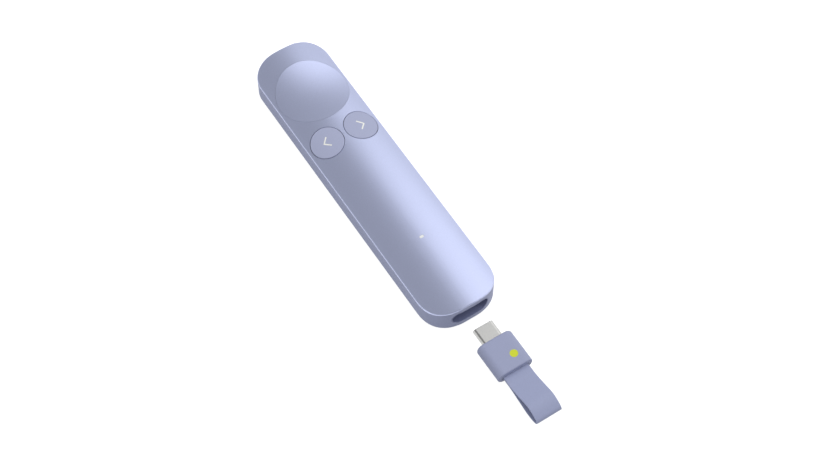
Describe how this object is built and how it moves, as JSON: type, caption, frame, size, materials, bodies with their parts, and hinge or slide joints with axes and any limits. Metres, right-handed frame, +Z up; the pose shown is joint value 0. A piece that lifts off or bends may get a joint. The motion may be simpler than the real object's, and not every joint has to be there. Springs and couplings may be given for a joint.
{
  "type": "wireless presentation clicker",
  "caption": "Slim handheld presentation remote with a dished pointer button, back and next buttons, and a plug-in receiver with a pull loop that slides into its end slot.",
  "frame": {"origin": "middle of the flat base of the body", "axes": "+X across the body to the side of the next button, +Y along it to the far end with the dished button, +Z up out of the crowned top"},
  "size_m": [0.0298, 0.1785, 0.0125],
  "materials": {
    "crown_finish": "fine satin lavender",
    "housing_finish": "satin lavender",
    "bay_plastic": "dark blue grey, fine texture",
    "light_diffuser": "milky diffuser",
    "button_finish": "matte lavender",
    "chevron_white": "white print",
    "grip_finish": "matte lavender",
    "dot_lime": "plain lime dot",
    "strap_finish": "soft matte silicone, lavender",
    "contact_steel": "satin plated steel",
    "screw_steel": "plain steel",
    "contact_gold": "gold plated",
    "nickel": "nickel strip",
    "black_core": "moulded black",
    "board_laminate": "green solder mask",
    "frame_plastic": "moulded black",
    "switch_plastic": "moulded dark grey",
    "chip_resin": "black resin",
    "antenna_ceramic": "white ceramic",
    "cell_pouch": "silver pouch",
    "foam": "black foam"
  },
  "bodies": {
    "remote": {"top_cover": "crown_finish", "lower_housing": "housing_finish", "receiver_bay": "bay_plastic", "light_pipe": "light_diffuser", "charging_socket_shell": "contact_steel", "charging_socket_tongue": "black_core", "main_board": "board_laminate", "inner_frame": "frame_plastic", "battery_cell": "cell_pouch", "battery_pad": "foam", "battery_tabs": "nickel", "vibration_motor": "contact_steel", "cover_screws": "screw_steel", "board_screws": "screw_steel", "frame_screws": "screw_steel", "radio_controller": "chip_resin", "motion_sensor": "chip_resin", "charging_chip": "chip_resin", "chip_antenna": "antenna_ceramic", "status_led": "light_diffuser", "pointer_switch": "switch_plastic", "back_switch": "switch_plastic", "next_switch": "switch_plastic"},
    "pointer": {"pointer_button": "crown_finish", "pointer_actuator": "switch_plastic"},
    "back": {"back_button": "button_finish", "back_chevron": "chevron_white", "back_actuator": "switch_plastic"},
    "next": {"next_button": "button_finish", "next_chevron": "chevron_white", "next_actuator": "switch_plastic"},
    "receiver": {"receiver_grip": "grip_finish", "receiver_dot": "dot_lime", "plug_shell": "contact_steel", "plug_insert": "black_core", "plug_contacts": "contact_gold", "receiver_board": "board_laminate", "receiver_chip": "chip_resin", "strap_loop": "strap_finish", "strap_pin": "screw_steel"}
  },
  "joints": [
    {"name": "receiver_slide", "type": "slide", "parent": "remote", "child": "receiver", "axis": [0, -1, 0], "range_m": [-0.0277, 0]},
    {"name": "pointer_press", "type": "slide", "parent": "remote", "child": "pointer", "axis": [0, 0, -1], "range_m": [0, 0.0003], "stiffness_N_per_m": 600},
    {"name": "back_press", "type": "slide", "parent": "remote", "child": "back", "axis": [0.2168, 0, -0.9762], "range_m": [0, 0.0003], "stiffness_N_per_m": 600},
    {"name": "next_press", "type": "slide", "parent": "remote", "child": "next", "axis": [-0.2168, 0, -0.9762], "range_m": [0, 0.0003], "stiffness_N_per_m": 600}
  ]
}
